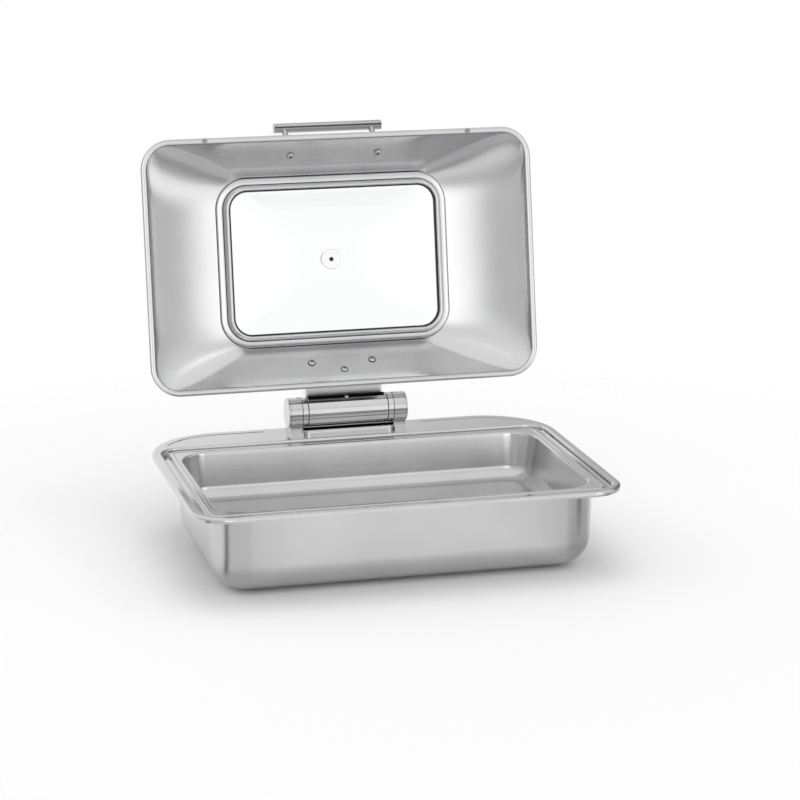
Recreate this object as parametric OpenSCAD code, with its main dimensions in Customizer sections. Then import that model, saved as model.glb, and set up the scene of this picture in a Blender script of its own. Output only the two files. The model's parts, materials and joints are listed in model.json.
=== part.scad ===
// Chafing dish with a water pan, a lift-out food pan and a window lid on a brake hinge.
// The lid stands open, as it does while food is served.
// Origin: middle of the underside. +X to the right, +Y towards the hinge, +Z up. Millimetres.

/* [Food pan] */
// Length of the food pan over its rim, left to right
pan_l = 530; // [440:1:600]
// Width of the food pan over its rim, front to back
pan_w = 325; // [280:1:400]
// Depth of the food pan below its rim
pan_depth = 65; // [45:1:85]
// Sheet thickness of the food pan
pan_sheet = 1; // [0.6:0.1:1.4]
// Height of the food pan's turned-down edge
pan_edge = 5; // [4:0.5:6.5]
// Corner radius of the food pan's rim
pan_rim_r = 15; // [10:1:22]
// Radius between the food pan's walls and floor
pan_floor_r = 20; // [10:1:28]
// How far the food pan's walls lean in between mouth and floor
pan_lean = 10; // [5:1:15]
// Height of the raised edge round the food pan's rim
pan_step = 0.8; // [0.4:0.1:1.2]
// Width of the raised edge round the food pan's rim
pan_step_w = 5.5; // [5:0.25:6]

/* [Water pan] */
// Height of the rim above the underside
body_h = 121; // [112:0.5:140]
// Sheet thickness of the water pan
body_sheet = 1.5; // [1:0.1:2]
// Depth of the seat below the rim
seat_depth = 7.5; // [7:0.5:10]
// Gap between the food pan's ends and the seat's walls
seat_gap_x = 11; // [8:0.5:16]
// Gap between the food pan's long sides and the seat's walls
seat_gap_y = 9; // [6:0.5:12]
// How far the food pan's rim laps onto the seat
seat_lap = 7.5; // [6:0.5:8]
// Corner radius of the seat
seat_r = 30; // [26:1:36]
// Gap between the food pan's walls and the well
well_gap = 5; // [4:0.5:7]
// Corner radius of the well
well_r = 48; // [46:1:60]
// Radius between the well's walls and floor
well_floor_r = 40; // [25:1:42]
// How far the well's walls lean in between mouth and floor
well_lean = 3; // [2:0.5:5]
// Width of the rim at either end of the seat
side_land = 12.5; // [11:0.5:20]
// Width of the rim in front of the seat
front_land = 16.5; // [14:0.5:22]
// Width of the rim behind the seat, where the hinge stands
hinge_land = 71.5; // [68:0.5:90]
// Corner radius at the front of the rim
rim_front_r = 52; // [44:1:56]
// Corner radius at the back of the rim
rim_back_r = 103; // [80:1:112]
// Height of the rim's turned-down lip
lip_h = 7; // [6:0.5:12]
// Rounding of the rim's outer edge
lip_round = 4; // [2.5:0.5:5]
// Rounding of the seat's and the well's mouths
mouth_round = 3; // [2:0.5:3.5]
// Depth of the pressed panels either side of the hinge
panel_depth = 0.7; // [0.3:0.1:0.8]
// Distance of the pressed panels from the rim's edge, the seat and the hinge
panel_margin = 14; // [10:0.5:18]
// Thickness of the induction plate under the floor
plate_t = 4; // [2.5:0.5:6]
// Distance of the induction plate's edge inside the floor's rounding
plate_inset = 4; // [2:0.5:12]
// Corner radius of the induction plate
plate_r = 24; // [12:1:40]

/* [Lid] */
// How far the lid's edge laps over the rim at either end
lid_lap_x = 3.5; // [2:0.5:5]
// How far the lid's edge laps over the rim at front and back
lid_lap_y = 6.25; // [5.5:0.25:7]
// Height of the closed lid's edge above the rim
lid_gap_z = 3.8; // [2.6:0.2:6]
// Corner radius of the lid's edge
lid_r = 42; // [36:1:50]
// Sheet thickness of the lid, measured plumb
lid_sheet = 1.5; // [1:0.1:1.8]
// Width of the lid's folded edge
hem_w = 8; // [7.5:0.5:9]
// Thickness of the lid's folded edge
hem_t = 2.4; // [2:0.1:3.2]
// Height from the folded edge to the land round the window
lid_rise = 57.6; // [50:0.2:66]
// Extra corner radius halfway up the lid's walls, where its hips are softest
hip_swell = 26; // [0:1:36]
// Bow of the lid's front and back walls; 1 is flat
front_bow = 1.2; // [1:0.05:1.4]
// Bow of the lid's end walls; 1 is flat
side_bow = 1.9; // [1.4:0.1:2.4]
// Opening angle of the lid
lid_open = 99.4; // [90:0.2:105]

/* [Window] */
// Length of the window frame
window_l = 335; // [280:1:400]
// Width of the window frame
window_w = 240; // [220:0.5:250]
// Corner radius of the window frame
window_r = 44; // [38:1:52]
// Thickness of the glass
glass_t = 3.9; // [3:0.1:5]
// Rise of the domed glass above its edge
glass_rise = 24; // [12:1:32]
// Thickness of the seal outside the glass
gasket_t = 1.5; // [1:0.1:2]
// Diameter of the disc at the middle of the glass
hub_d = 29; // [24:1:32]
// Diameter of the cap outside the glass
cap_d = 25; // [20:1:32]
// Height of the cap outside the glass
cap_h = 12; // [10:1:18]

/* [Handle] */
// Length of the handle bar
handle_l = 156; // [140:1:200]
// Diameter of the handle bar
handle_d = 14; // [12:0.5:18]
// Distance between the handle's posts
handle_pitch = 126; // [100:1:132]
// Distance from the lid's wall to the middle of the handle bar
handle_reach = 51; // [45:0.5:65]
// Diameter of the handle's posts
post_d = 8; // [7:0.5:10]

/* [Hinge] */
// Distance of the hinge axis behind the closed lid's edge
hinge_back = 34.25; // [33.5:0.25:35.5]
// Height of the hinge axis above the rim
hinge_h = 28.7; // [28.4:0.1:31]
// Diameter of the barrel
barrel_d = 42; // [38:0.5:42.5]
// Length of the barrel
barrel_l = 115; // [100:1:140]
// Bore inside the barrel, round the bushes
barrel_bore = 30; // [24:0.5:32]
// Thickness of the friction rings at the barrel's ends
ring_t = 8.4; // [5:0.2:10]
// Length of each knuckle, without its cap
knuckle_l = 17; // [15:0.5:24]
// Thickness of the knuckles' end caps
end_cap_t = 2.5; // [2:0.5:4]
// Diameter of the hinge pin
pin_d = 12; // [9:0.5:14]
// Thickness of the hinge's foot bar
foot_t = 7; // [5:0.5:7.4]
// Reach of the foot bar in front of and behind the axis
foot_reach = 22; // [20:0.5:24]
// Distance of the bracket's ends inside the barrel's ends
bracket_inset = 1.5; // [0.5:0.5:6]
// Distance of the bracket's front face behind the axis, with the lid open
bracket_back = 9; // [7:0.5:11]
// Thickness of the bracket
bracket_t = 23; // [20:0.5:26]
// Thickness of the backing plate under the rim
backing_t = 3; // [2:0.5:5]
// Distance between the foot's screws along the hinge
foot_pitch_x = 80; // [50:1:100]
// Distance between the foot's screws across the hinge
foot_pitch_y = 22; // [18:1:23]

/* [Fasteners] */
// Diameter of the screws
screw_d = 5; // [4:0.5:6]
// Head diameter of the screws in the lid
head_d = 9.5; // [8.5:0.5:10.5]
// Height of the screw heads
head_h = 2.6; // [2:0.1:4]
// Thickness of washers
washer_t = 1; // [0.8:0.1:1.5]
// Diameter of the bumpers under the lid's front edge
bumper_d = 6.6; // [5:0.2:7.2]
// Distance between the bumpers
bumper_pitch = 377; // [300:1:400]

/* [Hidden] */
$fn = 64;

// Clearances
seat_play = 0.02;
screw_play = 0.25;
thread_play = 0.03;
running_play = 0.05;
face_play = 0.3;
head_play = 0.2;
wall_play = 0.06;
bumper_play = 0.2;

// Counts of steps along rounds
fillet_n = 6;
end_run = 1;
corner_n = 8;
wall_n = 9;
dome_n = 8;

// Water pan and food pan
pan_hx = pan_l / 2;
pan_hy = pan_w / 2;
seat_z = body_h - seat_depth;
pan_z = seat_z + pan_edge + seat_play;
floor_z = plate_t + seat_play + body_sheet;
seat_hx = pan_hx + seat_gap_x;
seat_hy = pan_hy + seat_gap_y;
rim_hx = seat_hx + side_land;
rim_front = -seat_hy - front_land;
rim_back = seat_hy + hinge_land;
well_hx = pan_hx - seat_lap;
well_hy = pan_hy - seat_lap;

// Outlines in plan: half length, front edge, back edge, front radius, back radius
rim_line = [rim_hx, rim_front, rim_back, rim_front_r, rim_back_r];
seat_line = [seat_hx, -seat_hy, seat_hy, seat_r, seat_r];
well_line = [well_hx, -well_hy, well_hy, well_r, well_r];
pan_line = [pan_hx, -pan_hy, pan_hy, pan_rim_r, pan_rim_r];
pan_mouth_line = inset_line(well_line, well_gap);

// Lid
lid_hx = seat_hx + lid_lap_x;
lid_hy = seat_hy + lid_lap_y;
lid_z = body_h + lid_gap_z;
land_z = hem_t + lid_rise;
land_under = land_z - lid_sheet;
window_line = [window_l / 2, -window_w / 2, window_w / 2, window_r, window_r];

// Window section, measured inward from the frame's edge and down from the land
frame_leg = 13.8;
frame_depth = 13;
gasket_in = frame_leg + 0.1;
glass_in = frame_leg + 1.3;
lip_in = 17.6;
gasket_lip_in = lip_in + 2;
glass_top = land_under - gasket_t;
glass_low = glass_top - glass_t;
band_edge_h = 2.4;
band_soft = 1;
band_in = 9.2;
band_r = 26;
groove_in = 9.8;
groove_depth = 1.6;
small_bead_r = 2.6;
lip_low = land_under - frame_depth;
lip_top = lip_low + small_bead_r + 0.3;
hub_z = glass_low + glass_rise;
hub_flat_r = max(hub_d, cap_d) / 2 + 1.5;
dome_bow = 1.6;
hub_hole_r = 4;
hub_disc_t = 2;
hub_seal_t = 1;
hub_head_d = 6.4;
hub_head_h = 2;

// Hinge
axis_y = lid_hy + hinge_back;
axis_z = body_h + hinge_h;
barrel_r = barrel_d / 2;
barrel_end = barrel_l / 2;
ring_in = barrel_end + face_play;
knuckle_in = ring_in + ring_t + seat_play;
knuckle_out = knuckle_in + knuckle_l;
pocket_r = 14;
pocket_floor = knuckle_in + knuckle_l / 3;
spring_t = 3;
nut_t = 5;
foot_low = seat_play - hinge_h;
neck_w = 30;
flange_t = 4;
turned_soft = 0.6;
bracket_l = barrel_l - 2 * bracket_inset;
bracket_soft = 6;
plug_angle = 23;
plug_d = 4;
plug_head_d = 7;
plug_sink = 0.4;

// Fasteners on the lid's walls: share of the wall's height, and place along the wall
handle_share = 0.46;
post_share = 0.8;
bracket_screws = [[-44, 0.57], [0, 0.36], [44, 0.57]];
thread_depth = 8;
countersink_h = 2.5;
countersink_d = 10;
nut_share = 1.6;
head_dome = 0.7;
socket_share = 0.76;
socket_depth = 0.6;

function lerp(a, b, t) = a + (b - a) * t;
function unit(v) = v / norm(v);
function left_of(v) = [-v.y, v.x];

// Points along an arc round c, from angle a to angle b
function arc(c, r, a, b, n = fillet_n) =
    [for (i = [0:n]) let (q = lerp(a, b, i / n)) [c.x + r * cos(q), c.y + r * sin(q)]];

// A point of a path moved t to the left, square to the path there
function beside(path, i, t) =
    let (last = len(path) - 1,
        out = unit(path[min(i + 1, last)] - path[min(i, last - 1)]),
        into = unit(path[max(i, 1)] - path[max(i - 1, 0)]),
        mid = unit(left_of(out) + left_of(into)))
    path[i] + mid * t / (mid * left_of(out));

// Section of a sheet of thickness t that lies to the left of a path
function sheet(path, t) =
    concat(path, [for (i = [len(path) - 1:-1:0]) beside(path, i, t)]);

function inset_line(o, d) = [o[0] - d, o[1] + d, o[2] - d, o[3] - d, o[4] - d];

// Drawn wall from a mouth at height h down to a floor at 0, leaning in by lean
function lean_angle(h, lean) = atan2(lean, h);
function mouth_run(h, lean, r) = r / cos(lean_angle(h, lean)) - lean * r / h;
function floor_run(h, lean, r) = r / cos(lean_angle(h, lean)) + lean * (h - r) / h;
function drawn_wall(h, lean, r_mouth, r_floor) =
    let (a = lean_angle(h, lean), mouth = mouth_run(h, lean, r_mouth), foot = floor_run(h, lean, r_floor))
    concat(
        [[mouth + end_run, h]],
        arc([mouth, h - r_mouth], r_mouth, 90, 180 - a),
        arc([-foot, r_floor], r_floor, -a, -90),
        [[-foot - end_run, 0]]);
// Edges of the flat sheet outside the mouth and of the flat floor, halfway along the wall's flat ends
function mouth_line(o, h, lean, r) = inset_line(o, -mouth_run(h, lean, r) - end_run / 2);
function floor_line(o, h, lean, r) = inset_line(o, floor_run(h, lean, r) + end_run / 2);

// Rounded edge that turns down from a flat sheet at height 0
function turned_edge(h, r) = concat([[-r - end_run, 0]], arc([-r, -r], r, 90, 0), [[0, -h]]);

// Lid wall at share u of its height: distance in from the edge, and height
function wall_x(u) = hem_w + (lid_hx - hem_w - window_l / 2) * pow(u, side_bow);
function wall_y(u) = hem_w + (lid_hy - hem_w - window_w / 2) * pow(u, front_bow);
function wall_z(u) = hem_t + lid_rise * u;
// Angle of the outward normal above the horizontal, on the front and back walls
function wall_tilt(u) =
    atan2((lid_hy - hem_w - window_w / 2) * front_bow * pow(u, front_bow - 1), lid_rise);

// Ring of points of a rounded rectangle in plan
function ring(q) =
    [for (k = [0:3]) for (i = [0:corner_n])
        let (a = 90 * (k + i / corner_n), sx = (k == 0 || k == 3) ? 1 : -1, sy = k < 2 ? 1 : -1)
        [sx * (q[0] - q[2]) + q[2] * cos(a), sy * (q[1] - q[2]) + q[2] * sin(a), q[3]]];

// Closed skin through a loop of rings, each given as half length, half width, radius and height
module loft(loop) {
    m = 4 * (corner_n + 1);
    n = len(loop);
    points = [for (q = loop) each ring(q)];
    faces = [for (i = [0:n - 1]) for (j = [0:m - 1])
        let (a = i * m + j, b = i * m + (j + 1) % m,
            c = (i + 1) % n * m + j, d = (i + 1) % n * m + (j + 1) % m)
        each [[a, b, d], [a, d, c]]];
    polyhedron(points, faces);
}

// Flat rounded rectangle from an outline
module flat(o) {
    polygon([
        [-o[0] + o[3], o[1]], [o[0] - o[3], o[1]], [o[0], o[1] + o[3]], [o[0], o[2] - o[4]],
        [o[0] - o[4], o[2]], [-o[0] + o[4], o[2]], [-o[0], o[2] - o[4]], [-o[0], o[1] + o[3]]
    ]);
    for (s = [-1, 1]) {
        translate([s * (o[0] - o[3]), o[1] + o[3]]) circle(o[3]);
        translate([s * (o[0] - o[4]), o[2] - o[4]]) circle(o[4]);
    }
}

// Plate between two outlines, or over the whole outer one
module plate(z, t, outer, inner = []) {
    translate([0, 0, z]) linear_extrude(t) difference() {
        flat(outer);
        if (len(inner) > 0) flat(inner);
    }
}

// Straight run of a section along Y, with the section's first axis along +X
module run(l) {
    rotate([90, 0, 0]) linear_extrude(l, center = true) children();
}

// Section swept round an outline; its first axis points outward from the outline
module swept(o) {
    side = o[2] - o[4] - o[1] - o[3];
    side_mid = (o[2] - o[4] + o[1] + o[3]) / 2;
    translate([o[0], side_mid, 0]) run(side) children();
    translate([-o[0], side_mid, 0]) rotate(180) run(side) children();
    translate([0, o[1], 0]) rotate(-90) run(2 * (o[0] - o[3])) children();
    translate([0, o[2], 0]) rotate(90) run(2 * (o[0] - o[4])) children();
    translate([o[0] - o[4], o[2] - o[4], 0]) turn(o[4]) children();
    translate([o[4] - o[0], o[2] - o[4], 0]) rotate(90) turn(o[4]) children();
    translate([o[3] - o[0], o[1] + o[3], 0]) rotate(180) turn(o[3]) children();
    translate([o[0] - o[3], o[1] + o[3], 0]) rotate(270) turn(o[3]) children();
}

module turn(r) {
    rotate_extrude(angle = 90) translate([r, 0]) children();
}

// Cylinder along X between two places
module rod(r, x0, x1) {
    translate([x0, 0, 0]) rotate([0, 90, 0]) cylinder(r = r, h = x1 - x0);
}

// The same with its ends chamfered by c
module turned(r, x0, x1, c = turned_soft) {
    l = x1 - x0;
    translate([x0, 0, 0]) rotate([0, 90, 0]) rotate_extrude()
        polygon([[0, 0], [r - c, 0], [r, c], [r, l - c], [r - c, l], [0, l]]);
}

module mirrored() {
    children();
    mirror([1, 0, 0]) children();
}

module at_axis() {
    translate([0, axis_y, axis_z]) children();
}

// From the closed lid's own frame, with its edge at height 0, to the open lid
module on_lid() {
    at_axis() rotate([-lid_open, 0, 0]) translate([0, -axis_y, lid_z - axis_z]) children();
}

// The same for pieces drawn round the hinge axis with the lid closed
module on_axis() {
    at_axis() rotate([-lid_open, 0, 0]) children();
}

// Place on the outside of the lid's front (side -1) or back (side 1) wall, +Z out of the wall
module on_wall(side, x, u) {
    translate([x, side * (lid_hy - wall_y(u)), wall_z(u)])
        rotate([-side * (90 - wall_tilt(u)), 0, 0]) children();
}

function wall_skin(u) = lid_sheet * sin(wall_tilt(u));

// Button-head screw: head below 0, shank up to height l
module button_screw(l) {
    cylinder(d = screw_d, h = l);
    difference() {
        rotate_extrude() intersection() {
            translate([0, -head_h]) square([head_d / 2, head_h]);
            translate([0, head_d * head_dome - head_h]) circle(head_d * head_dome);
        }
        translate([0, 0, -2 * head_h])
            cylinder(d = screw_d * socket_share, h = head_h * (1 + socket_depth), $fn = 6);
    }
}

module washer(r_in, r_out, t) {
    difference() {
        cylinder(r = r_out, h = t);
        translate([0, 0, -t]) cylinder(r = r_in, h = 3 * t);
    }
}

module hex_nut(across, t, hole_r) {
    difference() {
        cylinder(d = across / cos(30), h = t, $fn = 6);
        translate([0, 0, -t]) cylinder(r = hole_r, h = 3 * t);
    }
}

module at_foot_screws() {
    for (sx = [-1, 1]) for (sy = [-1, 1])
        at_axis() translate([sx * foot_pitch_x / 2, sy * foot_pitch_y / 2, 0]) children();
}

// Base

module water_pan() {
    well_h = seat_z - floor_z;
    seat_lean = 1;
    color("gainsboro") difference() {
        union() {
            plate(floor_z - body_sheet, body_sheet,
                floor_line(well_line, well_h, well_lean, well_floor_r));
            translate([0, 0, floor_z]) swept(well_line)
                polygon(sheet(drawn_wall(well_h, well_lean, mouth_round, well_floor_r), body_sheet));
            plate(seat_z - body_sheet, body_sheet,
                floor_line(seat_line, seat_depth, seat_lean, mouth_round),
                mouth_line(well_line, well_h, well_lean, mouth_round));
            translate([0, 0, seat_z]) swept(seat_line)
                polygon(sheet(drawn_wall(seat_depth, seat_lean, mouth_round, mouth_round), body_sheet));
            plate(body_h - body_sheet, body_sheet, inset_line(rim_line, lip_round + end_run / 2),
                mouth_line(seat_line, seat_depth, seat_lean, mouth_round));
            translate([0, 0, body_h]) swept(rim_line)
                polygon(sheet(turned_edge(lip_h, lip_round), -body_sheet));
        }
        mirrored() translate([0, 0, body_h - panel_depth]) linear_extrude(2 * panel_depth) panel();
        at_foot_screws() translate([0, 0, -hinge_h - 2 * body_sheet])
            cylinder(d = screw_d + 2 * screw_play, h = 3 * body_sheet);
    }
}

// Pressed panel to the right of the hinge
module panel() {
    x0 = knuckle_out + end_cap_t + panel_margin;
    y0 = seat_hy + panel_margin;
    soft = 6;
    intersection() {
        flat(inset_line(rim_line, panel_margin));
        translate([(x0 + rim_hx) / 2, 0])
            flat([(rim_hx - x0) / 2 - panel_margin, y0, rim_back, soft, soft]);
    }
}

module induction_plate() {
    well_h = seat_z - floor_z;
    edge = 1;
    floor = inset_line(floor_line(well_line, well_h, well_lean, well_floor_r), plate_inset);
    line = [floor[0], floor[1], floor[2], plate_r, plate_r];
    color("dimgray") {
        plate(edge, plate_t - edge, line);
        plate(0, edge, inset_line(line, edge));
    }
}

module food_pan() {
    mouth_h = pan_depth - pan_sheet - pan_step;
    color("whitesmoke") translate([0, 0, pan_z]) {
        plate(-pan_depth, pan_sheet, floor_line(pan_mouth_line, mouth_h, pan_lean, pan_floor_r));
        translate([0, 0, pan_sheet - pan_depth]) swept(pan_mouth_line)
            polygon(sheet(drawn_wall(mouth_h, pan_lean, mouth_round, pan_floor_r), pan_sheet));
        plate(-pan_step - pan_sheet, pan_sheet, inset_line(pan_line, pan_step_w + pan_step + end_run / 2),
            mouth_line(pan_mouth_line, mouth_h, pan_lean, mouth_round));
        swept(pan_line) polygon(sheet(stepped_edge(), -pan_sheet));
    }
}

// Edge of the food pan: up a small step and over a round to the turned-down edge
function stepped_edge() =
    let (foot = -pan_step_w - pan_step)
    concat(
        [[foot - end_run, -pan_step], [foot, -pan_step], [-pan_step_w, 0]],
        arc([-mouth_round, -mouth_round], mouth_round, 90, 0),
        [[0, -pan_edge]]);

// Hinge, fixed half

module hinge_foot() {
    color("silver") at_axis() difference() {
        union() {
            foot_bar();
            mirrored() translate([knuckle_in, 0, 0]) rotate([90, 0, 90]) linear_extrude(knuckle_l) {
                circle(barrel_r);
                translate([-neck_w / 2, foot_low]) square([neck_w, -foot_low]);
                translate([-foot_reach, foot_low]) square([2 * foot_reach, flange_t]);
            }
        }
        mirrored() {
            rod(pin_d / 2 + thread_play, knuckle_in - 1, knuckle_out + 1);
            rod(pocket_r, pocket_floor, knuckle_out + 1);
            grub_place() cylinder(d = screw_d + 2 * thread_play, h = barrel_d);
        }
        for (sx = [-1, 1]) for (sy = [-1, 1])
            translate([sx * foot_pitch_x / 2, sy * foot_pitch_y / 2, foot_low + foot_t]) {
                translate([0, 0, -2 * foot_t]) cylinder(d = screw_d + 2 * screw_play, h = 3 * foot_t);
                translate([0, 0, -countersink_h])
                    cylinder(d1 = screw_d, d2 = countersink_d, h = countersink_h);
            }
    }
}

// Bar between the knuckles, rounded along its edges and at its ends
module foot_bar() {
    end_r = 12;
    edge_r = 4;
    lap = 2;
    section = concat(
        [[-foot_reach, 0], [foot_reach, 0]],
        arc([foot_reach - edge_r, foot_t - edge_r], edge_r, 0, 90),
        arc([edge_r - foot_reach, foot_t - edge_r], edge_r, 90, 180));
    translate([0, 0, foot_low]) intersection() {
        linear_extrude(foot_t) flat([knuckle_in + lap, -foot_reach, foot_reach, end_r, end_r]);
        along_hinge(2 * knuckle_out) polygon(section);
    }
}

module grub_place() {
    translate([(knuckle_in + pocket_floor) / 2, 0, pin_d / 2 + thread_play]) children();
}

module hinge_pin() {
    color("gray") at_axis() rod(pin_d / 2, -pin_end(), pin_end());
}

function pin_end() = pocket_floor + spring_t + nut_t;

module friction_rings() {
    color("lightgray") at_axis() mirrored() difference() {
        turned(barrel_r, ring_in, ring_in + ring_t);
        rod(pin_d / 2 + thread_play, ring_in - 1, ring_in + ring_t + 1);
    }
}

module disc_springs() {
    color("dimgray") at_axis() mirrored() difference() {
        translate([pocket_floor + seat_play, 0, 0]) rotate([0, 90, 0])
            cylinder(r1 = pocket_r - 1, r2 = pin_d / 2 + 3, h = spring_t - seat_play);
        rod(pin_d / 2 + thread_play, pocket_floor - 1, pocket_floor + spring_t + 1);
    }
}

module hinge_nuts() {
    color("gray") at_axis() mirrored()
        translate([pocket_floor + spring_t, 0, 0]) rotate([0, 90, 0])
            hex_nut(pin_d * nut_share, nut_t, pin_d / 2 + thread_play);
}

module hinge_end_caps() {
    spigot = 2;
    color("lightgray") at_axis() mirrored() {
        difference() {
            union() {
                turned(barrel_r, knuckle_out + seat_play, knuckle_out + end_cap_t);
                rod(pocket_r - thread_play, knuckle_out - spigot, knuckle_out + end_cap_t);
            }
            rod(pocket_r - spigot, knuckle_out - spigot - 1, knuckle_out);
        }
    }
}

module pin_grub_screws() {
    socket = 2.5;
    color("dimgray") at_axis() mirrored() grub_place() difference() {
        l = barrel_r - pin_d / 2 - 1;
        translate([0, 0, seat_play]) cylinder(d = screw_d, h = l);
        translate([0, 0, l - socket]) cylinder(d = screw_d * socket_share, h = 2 * socket, $fn = 6);
    }
}

module hinge_foot_screws() {
    color("silver") at_foot_screws() {
        top = foot_low + foot_t - seat_play;
        l = foot_t + body_sheet + backing_t + nut_t;
        translate([0, 0, top - l]) cylinder(d = screw_d, h = l);
        translate([0, 0, top - countersink_h + seat_play])
            cylinder(d1 = screw_d, d2 = countersink_d - 4 * seat_play, h = countersink_h - seat_play);
    }
}

function land_low() = -hinge_h - body_sheet - seat_play;

module hinge_backing_plate() {
    edge = 8;
    color("gray") at_axis() difference() {
        translate([0, 0, land_low() - backing_t]) linear_extrude(backing_t)
            flat([foot_pitch_x / 2 + edge, -foot_pitch_y / 2 - edge, foot_pitch_y / 2 + edge, 5, 5]);
        for (sx = [-1, 1]) for (sy = [-1, 1])
            translate([sx * foot_pitch_x / 2, sy * foot_pitch_y / 2, land_low() - 2 * backing_t])
                cylinder(d = screw_d + 2 * screw_play, h = 3 * backing_t);
    }
}

module hinge_foot_nuts() {
    thin_nut = screw_d * 0.8;
    color("silver") at_foot_screws()
        translate([0, 0, land_low() - backing_t - seat_play - thin_nut])
            hex_nut(screw_d * nut_share, thin_nut, screw_d / 2 + thread_play);
}

// Hinge, moving half

module hinge_barrel() {
    color("silver") on_axis() difference() {
        turned(barrel_r, -barrel_end, barrel_end);
        rod(barrel_bore / 2, -barrel_end - 1, barrel_end + 1);
        plug_place() {
            cylinder(d = plug_d + 2 * thread_play, h = barrel_r);
            translate([0, 0, -1]) cylinder(d = plug_head_d + 2 * screw_play, h = 1 + plug_sink);
        }
    }
}

// Axis of the plug screw, from the barrel's outside towards the hinge axis
module plug_place() {
    rotate([plug_angle, 0, 0]) translate([0, -barrel_r, 0]) rotate([-90, 0, 0]) children();
}

module hinge_bushes() {
    bush_l = 20;
    color("goldenrod") on_axis() mirrored() difference() {
        rod(barrel_bore / 2 - seat_play, barrel_end - bush_l, barrel_end);
        rod(pin_d / 2 + running_play, barrel_end - bush_l - 1, barrel_end + 1);
    }
}

// A place round the axis with the lid closed, moved to where it is with the lid open
function opened(p) =
    [p.x * cos(lid_open) + p.y * sin(lid_open), p.y * cos(lid_open) - p.x * sin(lid_open)];

// Section of the bracket round the axis with the lid open, from the barrel up to the lid's wall
module bracket_section() {
    low = 4;
    shoulder = barrel_r + 12;
    foot_r = 5;
    foot_turn = 70;
    back = bracket_back + bracket_t;
    foot = arc([bracket_back + foot_r, barrel_r + foot_r / 2], foot_r, 180 + foot_turn, 180);
    wall_line = [for (u = [0.2:0.05:1])
        opened([-hinge_back - wall_y(u) + wall_play * cos(wall_tilt(u)),
            lid_z - axis_z + wall_z(u) + wall_play * sin(wall_tilt(u))])];
    wall = [for (p = wall_line) if (p.x < back) p];
    polygon(concat(
        [[bracket_back + foot_r, low]], foot, [[bracket_back, shoulder]], wall,
        [[back, wall[len(wall) - 1].y], [back, low]]));
}

// Section along the hinge, from its left end to its right
module along_hinge(l) {
    translate([-l / 2, 0, 0]) rotate([90, 0, 90]) linear_extrude(l) children();
}

// Waste in front of the bracket's right end, outside its rounded edge
module bracket_corner() {
    translate([bracket_l / 2 - bracket_soft, bracket_back + bracket_soft, 0])
        linear_extrude(4 * barrel_d, center = true) difference() {
            translate([0, -2 * barrel_d]) square([2 * bracket_soft, 2 * barrel_d]);
            circle(bracket_soft);
        }
}

module lid_bracket() {
    color("dimgray") difference() {
        at_axis() along_hinge(bracket_l) bracket_section();
        at_axis() rod(barrel_r + seat_play, -bracket_l, bracket_l);
        at_axis() mirrored() bracket_corner();
        on_lid() for (q = bracket_screws) on_wall(1, q[0], q[1])
            translate([0, 0, -1]) cylinder(d = screw_d + 2 * thread_play, h = thread_depth + 2);
    }
}

module barrel_plug_screw() {
    head_t = 2.6;
    under = plug_sink - seat_play;
    shank = 5;
    socket = 1.5;
    color("silver") on_axis() plug_place() difference() {
        union() {
            translate([0, 0, under - 1]) cylinder(d = plug_d, h = shank);
            translate([0, 0, under - head_t]) rotate_extrude() intersection() {
                square([plug_head_d / 2, head_t]);
                translate([0, plug_head_d / 2]) circle(plug_head_d / 2);
            }
        }
        translate([0, 0, under - head_t - 1]) cylinder(d = plug_d * socket_share, h = 1 + socket, $fn = 6);
    }
}

module lid_bracket_screws() {
    color("silver") on_lid() for (q = bracket_screws) on_wall(1, q[0], q[1])
        translate([0, 0, -wall_skin(q[1]) - head_play])
            button_screw(wall_skin(q[1]) + head_play + thread_depth);
}

// Lid

module lid_shell() {
    shares = [for (i = [0:wall_n]) i / wall_n];
    mouth_x = window_l / 2 - lip_in;
    mouth_y = window_w / 2 - lip_in;
    mouth_r = window_r - lip_in;
    soft = hem_t / 4;
    round = hem_t / 2;
    outside = [for (u = shares) wall_ring(u, 0)];
    inside = [for (u = shares) wall_ring(u, lid_sheet)];
    edge = concat(
        [edge_ring(hem_w - 1, hem_t)],
        [for (p = arc([round, round], round, 90, 270)) edge_ring(p.x, p.y)],
        [edge_ring(hem_w - soft, 0)]);
    color("gainsboro") on_lid() difference() {
        loft(concat(
            [[mouth_x, mouth_y, mouth_r, land_z]], reversed(outside), edge, inside,
            [[mouth_x, mouth_y, mouth_r, land_under]]));
        for (q = bracket_screws) on_wall(1, q[0], q[1]) screw_hole();
        for (s = [-1, 1]) on_wall(-1, s * handle_pitch / 2, handle_share) screw_hole();
    }
}

function reversed(list) = [for (i = [len(list) - 1:-1:0]) list[i]];

function wall_ring(u, drop) =
    [lid_hx - wall_x(u), lid_hy - wall_y(u), hip_r(u), wall_z(u) - drop];

function hip_r(u) = lerp(lid_r - hem_w, window_r, u) + hip_swell * sin(180 * u);

function edge_ring(d, z) = [lid_hx - d, lid_hy - d, lid_r - d, z];

module screw_hole() {
    cylinder(d = screw_d + 2 * screw_play, h = 6 * lid_sheet, center = true);
}

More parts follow.
